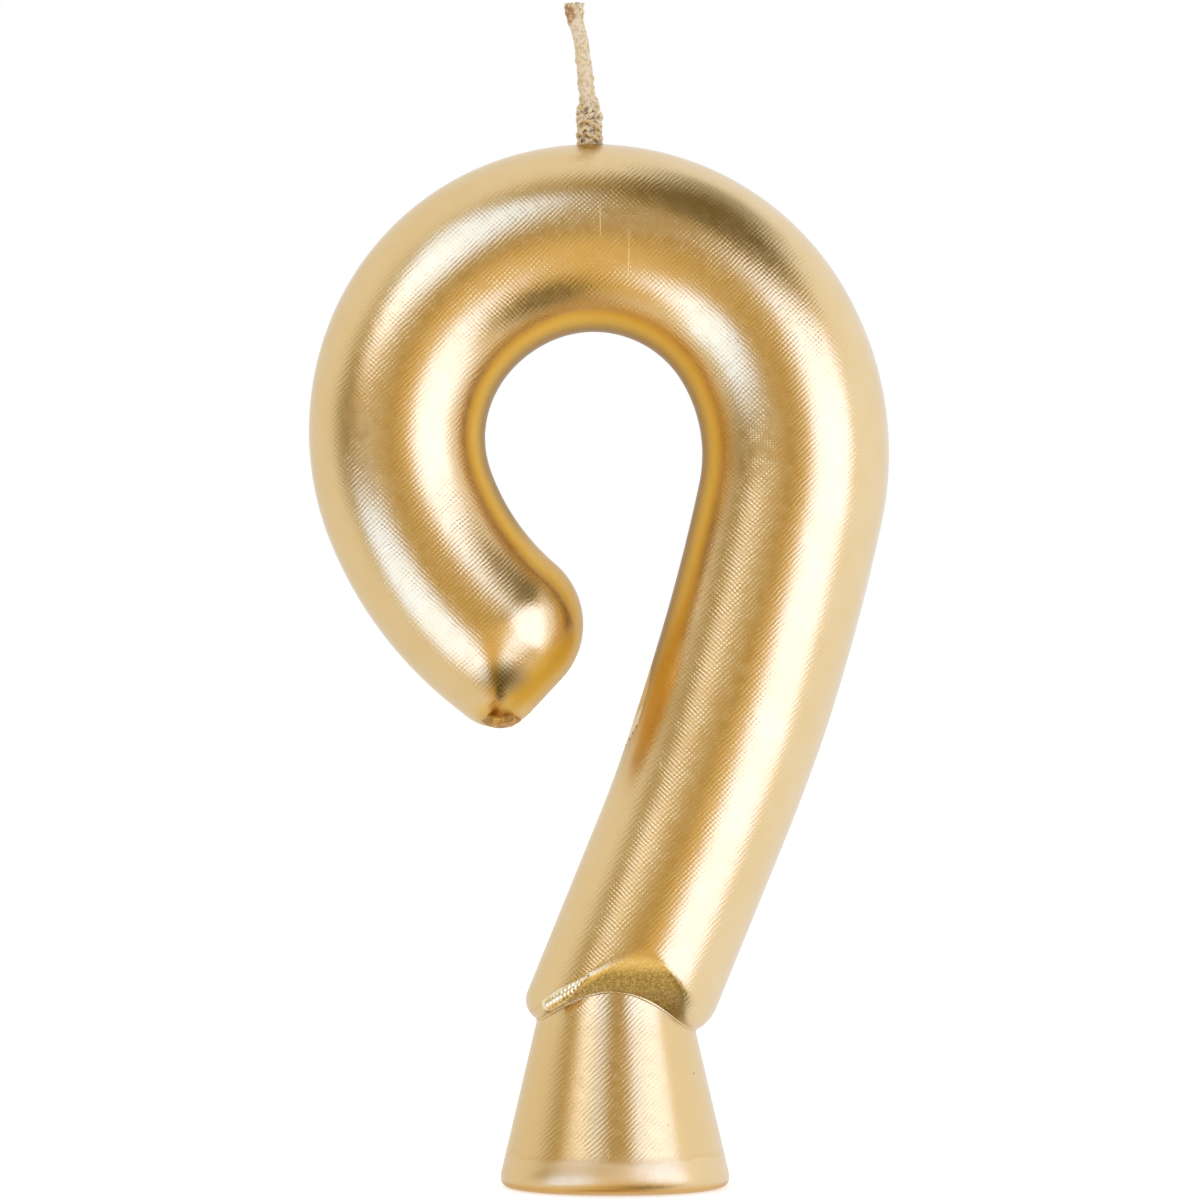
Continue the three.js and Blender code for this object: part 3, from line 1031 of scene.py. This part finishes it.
# Angles round the stroke in degrees, and lengths along it.
INSIDE_ANGLE = (47, 57)
INSIDE_STARTS = (12, 24)
TIP_STARTS = (96, 102)
# Parts of the normal: how far a face looks the way that the tip's end does, and how far the heel's
# slanting face looks down, to the front or the back, to the left and to the right.
TIP_FACING = (0.5, 0.78)
HEEL_DOWN = (-0.34, -0.16)
HEEL_TO_FRONT = (0.35, 0.6)
HEEL_LEFT = (-0.5, -0.3)
HEEL_RIGHT = (0.1, 0.3)
# Places from left to right, and distances under the ridge.
# The darkening towards the right and the lighter band under the ridge are painted shade and painted
# light.
HEEL_DARK_RIGHT = (3.2, 5.2)
UNDER_RIDGE = (0.15, 0.45)
HEEL_GRAIN = ((5.5, 3.0, 0.7), (0.36, 0.62))
# The line along the heel's left ridge: what x and z are multiplied by, and a shift.
RIDGE_LINE = (0.546, -0.84, 13.83)


def inside_masks(tree, normal):
    """1 on the faces that look into the loop and its mouth, and on the part of them at the tip."""
    along, angle, _ = parts_of(noted_on_mesh(tree, "stroke_place")["Vector"])
    inner = product(ramp(angle, *INSIDE_ANGLE), ramp(along, *INSIDE_STARTS))
    towards = total_of(product(normal.x, TIP["out"].x), product(normal.z, TIP["out"].y))
    at_tip = ramp(along, *TIP_STARTS)
    inside = most_of(inner, product(ramp(towards, *TIP_FACING), at_tip))
    return inside, product(inside, at_tip)


def heel_mask(place, normal):
    """1 on the heel's slanting face."""
    return product(
        fall(normal.z, *HEEL_DOWN), ramp(math_node("ABSOLUTE", normal.y), *HEEL_TO_FRONT),
        fall(normal.x, *HEEL_RIGHT), ramp(normal.x, *HEEL_LEFT),
        ramp(place.z, *HEEL_BOTTOM), fall(place.z, *HEEL_TOP),
    )


def heel_light_and_shade(position, place):
    """Painted light and shade on the heel's face: lighter ochre under its left ridge, darker and grainy
    farther down and to the right.
    """
    over_x, over_z, shift = RIDGE_LINE
    under = total_of(product(place.x, over_x), product(place.z, over_z), shift)
    grain = most_of(mottle(position, *HEEL_GRAIN), ramp(place.x, *HEEL_DARK_RIGHT, 0.0, 0.9))
    low_down = product(ramp(under, *UNDER_RIDGE), fall(place.z, *HEEL_OCHRE_TOP))
    return mix(low_down, OCHRE, mix(grain, OLIVE, UMBER))


# %% Relief of the lacquer
PASS_ANGLE = math.radians(44)
PASS_SPACING = 0.271
PASS_WAVER = 0.3
PASS_HEIGHT = 0.0037
CROSS_ANGLE = math.radians(-43)
CROSS_SPACING = 0.25
CROSS_WAVER = 0.25
CROSS_HEIGHT = 0.0041
CROSS_PATCHES = ((0.09, 1.0), (0.42, 0.6), (0.12, 0.7))
CROSS_FACING_LEFT = (-0.5, 0.0)
CROSS_FROM_LEFT = (-6.0, -2.0)
TO_FRONT = (0.5, 0.72)
SIDE_HEIGHT = 0.0007
GRAIN_SCALE = 4.4
GRAIN_HEIGHTS = (0.0055, 0.035)
SWAY_SCALE = 0.5
SWAY_HEIGHT = 0.012
SCRATCH_HEIGHT = 0.006


def cross_share(position, place, normal):
    """How deep the crossing passes are: most on the limb's left side and in some patches."""
    left = product(fall(normal.x, *CROSS_FACING_LEFT), ramp(place.x, *CROSS_FROM_LEFT), 1.1)
    patches = mottle(position, *CROSS_PATCHES)
    return product(most_of(left, patches), ramp(place.z, *FOOT_TOP, 0.15, 1.0))


def gold_height(position, place, normal, above_rim, heel):
    """The lacquer's relief in millimetres."""
    to_front = ramp(math_node("ABSOLUTE", normal.y), *TO_FRONT)
    nub = spot_at(position, *TAIL_NUB)
    milled = product(to_front, above_rim, ramp(heel, 0, 1, 1, 0.25), ramp(nub, 0, 1, 1, 0.45))
    passes = placed(
        cutter_passes, position, Angle=PASS_ANGLE, Spacing=PASS_SPACING, Waver=PASS_WAVER,
    )
    crossing = placed(
        cutter_passes, position, Angle=CROSS_ANGLE, Spacing=CROSS_SPACING, Waver=CROSS_WAVER,
    )
    crossing = product(crossing, cross_share(position, place, normal), CROSS_HEIGHT)
    lines = total_of(product(passes, PASS_HEIGHT), crossing)
    lines = product(lines, ramp(place.z, *FOOT_TOP, 0.95, 1.0), milled)
    waves = {"Vector": position, "Scale": 1.6, "Distortion": 0.6}
    lengthwise = new_node(position.id_data, "ShaderNodeTexWave", waves, bands_direction="Y")
    side = product(lengthwise.outputs["Fac"], rest_of(to_front), SIDE_HEIGHT)
    coarse = most_of(heel, ramp(above_rim, 0, 1, 0.35, 0), product(nub, 0.28))
    grain = product(noise_of(position, GRAIN_SCALE), ramp(coarse, 0, 1, *GRAIN_HEIGHTS))
    sway = product(noise_of(position, SWAY_SCALE, 1.0), SWAY_HEIGHT)
    scratches = product(any_spot(position, SCRATCHES, SCRATCHES_SOFT), SCRATCH_HEIGHT)
    return total_of(lines, side, grain, sway, scratches)


# %% Gold lacquer
def new_material(name):
    material = bpy.data.materials.new(name)
    material.use_nodes = True
    return material, material.node_tree


def dress(material, values, relief=None):
    """Sets the shader's inputs, and adds a Bump node if there is a relief, in millimetres."""
    tree = material.node_tree
    shader = tree.nodes["Principled BSDF"]
    for label, value in values.items():
        feed(shader.inputs[label], value)
    if relief is not None:
        bump = new_node(tree, "ShaderNodeBump", {"Distance": MM, "Height": relief})
        feed(shader.inputs["Normal"], bump.outputs["Normal"])
    print(material.name, "has", len(tree.nodes), "nodes")
    return material


GOLD_CLOUD = ((0.35, 4.0), (0.3, 0.7))
GOLD_CLOUD_SHARE = 0.5
GOLD_ROUGHNESS = ((1.2, 3.0), (0.2, 0.8), (0.25, 0.31))
RIM_WAVER = 0.9
RIM_MIDDLE = (3.0, 6.5)
SEAM_STRENGTH = 1.6
SHELF_SHARE = 0.75
SIDEWAYS = (0.18, 0.54)


def gold_material():
    material, tree = new_material("gold_lacquer")
    position = millimetres(tree)
    place = parts_of(position)
    normal = parts_of(tree.nodes.new("ShaderNodeTexCoord").outputs["Normal"])
    uneven_top = product(noise_of(position, SWAY_SCALE, 1.0), RIM_WAVER)
    above_rim = ramp(total_of(place.z, uneven_top), *RIM_TOP)
    seam = product(above_rim, rest_of(above_rim), SEAM_STRENGTH)
    # The lowest band: a painted reflection of the floor.
    under = fall(place.z, *RIM_BOTTOM)
    middle = ramp(math_node("ABSOLUTE", place.x), *RIM_MIDDLE, 1.0, 0.25)
    matt = product(rest_of(above_rim), ramp(place.z, *RIM_BAND), middle)
    on_foot = fall(place.z, *FOOT_TOP)
    heel = heel_mask(place, normal)
    inside, inside_tip = inside_masks(tree, normal)
    sideways = fall(math_node("ABSOLUTE", normal.y), *SIDEWAYS)
    sideways = product(sideways, rest_of(product(inside_tip, 0.7)))
    amber = spot_at(position, *TAIL_AMBER)
    shelf = product(spot_at(position, *TAIL_SHELF), SHELF_SHARE)
    # A painted dark reflection under the tail's end.
    dark_reflection = spot_at(position, *TAIL_DARK_REFLECTION)
    pool = spot_at(position, *POOL_AT_WICK)
    # Dark specks, with painted shade in the pit and in the gap beside the wick.
    specks_and_shade = most_of(
        any_spot(position, SPECKS, SPECKS_SOFT), spot_at(position, *PIT_SHADE), spot_at(position, *WICK_GAP_SHADE),
    )
    deep = most_of(product(mottle(position, *GOLD_CLOUD), GOLD_CLOUD_SHARE), on_foot)
    # Inside the loop, on the heel, on the lowest band, under the tail, in the pit and in the gap, the
    # colour paints light, shade or reflection.
    colour = layered(
        mix(deep, GOLD, GOLD_DEEP),
        (inside, mix(sideways, INSIDE_FRONT, INSIDE_EDGE)),
        (heel, heel_light_and_shade(position, place)),
        (matt, GOLD_RIM), (seam, GOLD_UNDER), (under, GOLD_UNDER),
        (dark_reflection, DARK_REFLECTION), (pool, POOL), (shelf, SHELF), (amber, AMBER), (specks_and_shade, DARK_SPECK_AND_SHADE),
    )
    rough = total_of(
        mottle(position, *GOLD_ROUGHNESS), product(matt, 0.2), product(heel, 0.1),
        product(inside, 0.04), product(on_foot, 0.03),
    )
    dull = most_of(
        product(under, 0.8), product(matt, 0.6), product(dark_reflection, 0.7), inside, amber, shelf, pool,
    )
    less_metal_inside = most_of(product(inside, rest_of(sideways), 0.6), inside_tip)
    return dress(material, {
        "Base Color": colour, "Roughness": rough, "Metallic": ramp(less_metal_inside, 0, 1, 1, 0.4),
        "Specular Tint": SPECULAR_TINT, "Coat Weight": ramp(dull, 0, 1, 0.95, 0.05),
        "Coat Roughness": 0.25, "Coat IOR": 1.95,
    }, gold_height(position, place, normal, above_rim, heel))


gold = gold_material()
for piece in (coat, foot_bead):
    piece.data.materials.append(gold)

# %% [markdown]
# ## Ridge lacquer, painted paler as a highlight, wax, cotton and amber
# The other finishes are mottled: each has a noise of its own for the colour, the roughness and the
# relief. The ridge on the heel is a pale cream, a painted highlight, and the drop under the tail is
# a dark amber. The gaps between the wick's yarns are painted darker, most near its two ends: painted
# shade.

# %% Lacquer on the ridge, painted paler as a highlight
# Both colours are paler than the gold, as a painted highlight.
RIDGE_HIGHLIGHT_PALE = (0.95, 0.86, 0.62, 1)
RIDGE_HIGHLIGHT_DEEP = (0.88, 0.70, 0.38, 1)
THICK_CLOUD = ((1.8, 3.0), (0.35, 0.65))
THICK_ROUGHNESS = ((3.0,), (0.3, 0.7), (0.26, 0.36))
THICK_HEIGHT = 0.006


def ridge_material():
    material, tree = new_material("ridge_lacquer_highlight")
    position = millimetres(tree)
    return dress(material, {
        "Base Color": mix(mottle(position, *THICK_CLOUD), RIDGE_HIGHLIGHT_PALE, RIDGE_HIGHLIGHT_DEEP),
        "Roughness": mottle(position, *THICK_ROUGHNESS),
        "Metallic": 1.0, "Coat Weight": 0.8, "Coat Roughness": 0.2,
    }, product(noise_of(position, 5.0), THICK_HEIGHT))


heel_ridge.data.materials.append(ridge_material())

# %% Wax
WAX_SHADE = (0.86, 0.79, 0.64, 1)
WAX_LIGHT = (0.90, 0.85, 0.73, 1)
WAX_CLOUD = ((0.4, 4.0), (0.3, 0.7))
WAX_ROUGHNESS = ((2.5, 3.0), (0.2, 0.8), (0.42, 0.58))
WAX_HEIGHT = 0.02


def wax_material():
    material, tree = new_material("ivory_wax")
    position = millimetres(tree)
    return dress(material, {
        "Base Color": mix(mottle(position, *WAX_CLOUD), WAX_SHADE, WAX_LIGHT),
        "Roughness": mottle(position, *WAX_ROUGHNESS),
        "Subsurface Weight": 0.25, "Subsurface Scale": 1.5 * MM,
    }, product(noise_of(position, 3.0, 3.0), WAX_HEIGHT))


wax.data.materials.append(wax_material())

# %% Cotton
COTTON = (0.90, 0.71, 0.43, 1)
COTTON_STAIN = (0.52, 0.40, 0.17, 1)
# Painted shade for the gaps between the yarns.
COTTON_GAP_SHADE = (0.22, 0.11, 0.03, 1)
COTTON_GOLD = (0.82, 0.56, 0.20, 1)
COTTON_BURNT = (0.50, 0.24, 0.07, 1)
FIBRE_HEIGHT = 0.045
WICK_FOOT = (76.6, 78.4)
WICK_TOP = (82.4, 83.6)
BURNT_SPOT = ((-3.35, -0.6, 83.65), (0.62, 1.3, 0.78), 0.35)
GILT_PATCHES = ((1.3, 3.0), (0.48, 0.64))
GAP_SPECKLE = ((3.4, 3.0), (0.44, 0.56), (0.3, 1.0))
GAP_DEPTH = (0.70, 0.84)


def cotton_material():
    material, tree = new_material("waxed_cotton")
    position = millimetres(tree)
    height = parts_of(position).z
    fibre = noise_of(position, 5.0, 4.0, 0.6)
    at_ends = most_of(fall(height, *WICK_FOOT), ramp(height, *WICK_TOP, 0.0, 0.8))
    gilt = mottle(position, *GILT_PATCHES)
    # Painted shade: darker deep between the yarns.
    gap = fall(noted_on_mesh(tree, "from_middle")["Fac"], *GAP_DEPTH)
    speckled = mottle(position, *GAP_SPECKLE)
    burnt = spot_at(position, *BURNT_SPOT)
    colour = layered(
        COTTON,
        (product(gilt, ramp(at_ends, 0, 1, 0.4, 0.8)), COTTON_GOLD),
        (product(ramp(fibre, 0.47, 0.6), ramp(at_ends, 0, 1, 0.6, 0.75)), COTTON_STAIN),
        (product(gap, speckled, ramp(at_ends, 0, 1, 0.55, 1.0)), COTTON_GAP_SHADE),
        (product(burnt, ramp(fibre, 0.4, 0.5, 0.3, 0.95)), COTTON_BURNT),
    )
    return dress(material, {
        "Base Color": colour, "Roughness": ramp(fibre, 0.3, 0.7, 0.5, 0.7), "Sheen Weight": 0.2,
    }, product(fibre, FIBRE_HEIGHT))


wick.data.materials.append(cotton_material())

# %% Amber
AMBER_PALE = (0.74, 0.40, 0.07, 1)
AMBER_BURNT = (0.17, 0.07, 0.02, 1)
AMBER_HEIGHT = 0.05
AMBER_CLOUD = ((1.6, 3.0), (0.4, 0.62))
AMBER_CLOUD_SHARE = 0.6
AMBER_ROUGHNESS = ((2.4,), (0.3, 0.7), (0.45, 0.6))
DROP_MIDDLE = ((-8.14, -1.0, 33.0), (0.5, 1.5, 0.5), 0.6)


def amber_material():
    material, tree = new_material("amber_lacquer")
    position = millimetres(tree)
    burnt = product(mottle(position, *AMBER_CLOUD), AMBER_CLOUD_SHARE)
    burnt = most_of(burnt, spot_at(position, *DROP_MIDDLE))
    return dress(material, {
        "Base Color": mix(burnt, AMBER_PALE, AMBER_BURNT),
        "Roughness": mottle(position, *AMBER_ROUGHNESS), "Metallic": 0.6,
    }, product(noise_of(position, 3.5, 3.0), AMBER_HEIGHT))


drop.data.materials.append(amber_material())

# %% [markdown]
# ## Floor, light and camera
# The photo has a white ground, one large soft lamp to the right and two smaller ones to the left,
# all in front. Metal shows its surroundings more than its own colour. So the lamps are placed where
# the photo's bands ask for them, and so are the patches of the world behind the lamps: the warm
# fill in front, a glow at the left, the dark gaps between the lamps and a brown patch below.

# %% Camera
FRAME_WIDTH = 85.714 * MM
FRAME_CENTRE = Vector((-1.071, 0, 41.89)) * MM
CAMERA_DISTANCE = 385 * MM
SENSOR = 36.0
camera_data = bpy.data.cameras.new("camera")
camera_data.sensor_width = SENSOR
camera_data.lens = SENSOR * CAMERA_DISTANCE / FRAME_WIDTH
camera_data.clip_start = 0.01
camera = bpy.data.objects.new("camera", camera_data)
camera.location = FRAME_CENTRE + Vector((0, -CAMERA_DISTANCE, 0))
camera.rotation_euler = (math.pi / 2, 0, 0)
bpy.context.scene.collection.objects.link(camera)
bpy.context.scene.camera = camera
print(f"lens {camera_data.lens:.0f} mm")

# %% Soft lamps
# Gold tints what it reflects, and the photo's bright bands are nearly white, so the lamps are cool.
LAMP_DISTANCE = 0.6
LAMP_COLOUR = (0.60, 1.0, 1.95)
# The swing from the camera's axis, the azimuth, the width and the height in degrees, and the level.
LAMPS = {
    "lamp_right": (46, -5, 51, 61, 1.36),
    "lamp_upper_left": (47.5, 128, 38, 37, 1.34),
    "lamp_lower_left": (51, -142, 41, 36, 1.42),
}


def soft_lamp(name, swing, azimuth, wide, tall, level):
    swing, azimuth = math.radians(swing), math.radians(azimuth)
    way = Vector((
        math.sin(swing) * math.cos(azimuth), -math.cos(swing), math.sin(swing) * math.sin(azimuth),
    ))
    data = bpy.data.lights.new(name, "AREA")
    data.shape = "RECTANGLE"
    data.size = 2 * LAMP_DISTANCE * math.tan(math.radians(wide / 2))
    data.size_y = 2 * LAMP_DISTANCE * math.tan(math.radians(tall / 2))
    data.energy = level * math.pi * data.size * data.size_y
    data.color = LAMP_COLOUR
    lamp = bpy.data.objects.new(name, data)
    lamp.location = FRAME_CENTRE + way * LAMP_DISTANCE
    lamp.rotation_euler = (-way).to_track_quat("-Z", "Y").to_euler()
    lamp.visible_camera = False
    bpy.context.scene.collection.objects.link(lamp)


for name, numbers in LAMPS.items():
    soft_lamp(name, *numbers)
print("lamps:", len(LAMPS))

# %% Floor
# The floor takes the candle's shadow. Glossy rays miss it, because the world alone sets what the
# gold mirrors.
FLOOR_FRONT = -50 * MM
FLOOR_REACH = 2.0
FLOOR_GLOW = 0.5
FLOOR_COLOUR = (0.9, 0.9, 0.9, 1)
WHITE = (1, 1, 1, 1)


def seen_ray(tree):
    """1 for camera, glossy and transmission rays."""
    path = tree.nodes.new("ShaderNodeLightPath").outputs
    return most_of(path["Is Camera Ray"], path["Is Glossy Ray"], path["Is Transmission Ray"])


floor_bm = bmesh.new()
bmesh.ops.create_grid(floor_bm, x_segments=8, y_segments=8, size=FLOOR_REACH)
bmesh.ops.translate(floor_bm, verts=floor_bm.verts[:], vec=(0, FLOOR_REACH + FLOOR_FRONT, 0))
floor = piece_from(floor_bm, "floor")
floor_material, floor_tree = new_material("pale_floor")
floor.data.materials.append(dress(floor_material, {
    "Base Color": FLOOR_COLOUR, "Roughness": 0.9, "Specular IOR Level": 0.0,
    "Emission Color": WHITE, "Emission Strength": product(seen_ray(floor_tree), FLOOR_GLOW),
}))
floor.visible_glossy = False
print("floor front at", FLOOR_FRONT / MM, "mm")

# %% World
SURROUND_LEFT = (0.92, 0.88, 0.76, 1)
SURROUND_RIGHT = (1.03, 1.05, 1.06, 1)
FRONT_FILL_LOW = (0.82, 0.57, 0.16, 1)
FRONT_FILL_HIGH = (0.38, 0.26, 0.055, 1)
FRONT_FILL_RING = (0.47, 0.33, 0.08, 1)
LEFT_FILL = (0.62, 0.44, 0.12, 1)
LEFT_GLOW = (1.1, 0.92, 0.6, 1)
BROWN_BELOW = (0.55, 0.34, 0.12, 1)
DARK_GAP = (0.15, 0.11, 0.025, 1)
LEFT_FILL_CONE = ((-0.377, -0.914, 0.152), 0.955, 0.99)
# Soft edges between the parts of the world: of the fill's ring in front, between the low and the
# high fill, between left and right, and between the fill and the surround.
RING_EDGE = (-0.985, -0.93)
LOW_EDGE = (-0.13, 0.11)
SIDE_EDGE = (-0.6, 0.6)
FILL_EDGE = (-0.42, -0.05)
# Each patch is a cone with its strength and its colour: a gap at the left, two above and one below,
# the glow at the left and the brown below.
PATCHES = [
    (((-0.961, -0.274, 0.035), 0.95, 0.985), 0.5, DARK_GAP),
    (((0.432, -0.391, 0.813), 0.88, 0.955), 1.0, DARK_GAP),
    (((0.467, 0.087, 0.879), 0.94, 0.985), 0.75, DARK_GAP),
    (((0.317, -0.375, -0.871), 0.92, 0.985), 1.0, DARK_GAP),
    (((-0.66, -0.67, 0.34), 0.96, 0.985), 1.0, LEFT_GLOW),
    (((0, 0.08, -0.997), 0.94, 0.985), 1.0, BROWN_BELOW),
]


def cone_mask(way, towards, outer, inner):
    """1 within a cone round a direction, given by the cosines of its soft edge."""
    return ramp(vector_node("DOT_PRODUCT", way, towards), outer, inner)


def studio_world():
    world = bpy.data.worlds.new("studio")
    world.use_nodes = True
    tree = world.node_tree
    way = tree.nodes.new("ShaderNodeTexCoord").outputs["Generated"]
    right, depth, height = parts_of(way)
    slant = math_node("SUBTRACT", height, right)
    high = mix(ramp(depth, *RING_EDGE), FRONT_FILL_HIGH, FRONT_FILL_RING)
    fill = mix(ramp(slant, *LOW_EDGE), FRONT_FILL_LOW, high)
    fill = mix(cone_mask(way, *LEFT_FILL_CONE), fill, LEFT_FILL)
    surround = mix(ramp(right, *SIDE_EDGE), SURROUND_LEFT, SURROUND_RIGHT)
    around = layered(
        mix(ramp(depth, *FILL_EDGE), fill, surround),
        *[(product(cone_mask(way, *cone), strength), colour) for cone, strength, colour in PATCHES],
    )
    camera_ray = tree.nodes.new("ShaderNodeLightPath").outputs["Is Camera Ray"]
    feed(tree.nodes["Background"].inputs["Color"], mix(camera_ray, around, WHITE))
    return world


bpy.context.scene.world = studio_world()
bpy.context.scene.view_settings.view_transform = "Standard"
print("patches in the world:", len(PATCHES))

# %% [markdown]
# ## Hand over
# The candle has one body, so every piece rides on it. The coat, the casting and the wick take the
# place of their plain solids, and the beads, the ridge and the drop are added to them.

# %% Ride, replace and finish
for piece, node, slot in (
    (coat, "gold_coat", "gold_lacquer"),
    (wax, "wax_body", "wax"),
    (wick, "wick", "wick_cotton"),
):
    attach(piece, "root")
    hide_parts(node)
for piece in (foot_bead, heel_ridge, drop):
    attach(piece, "root")
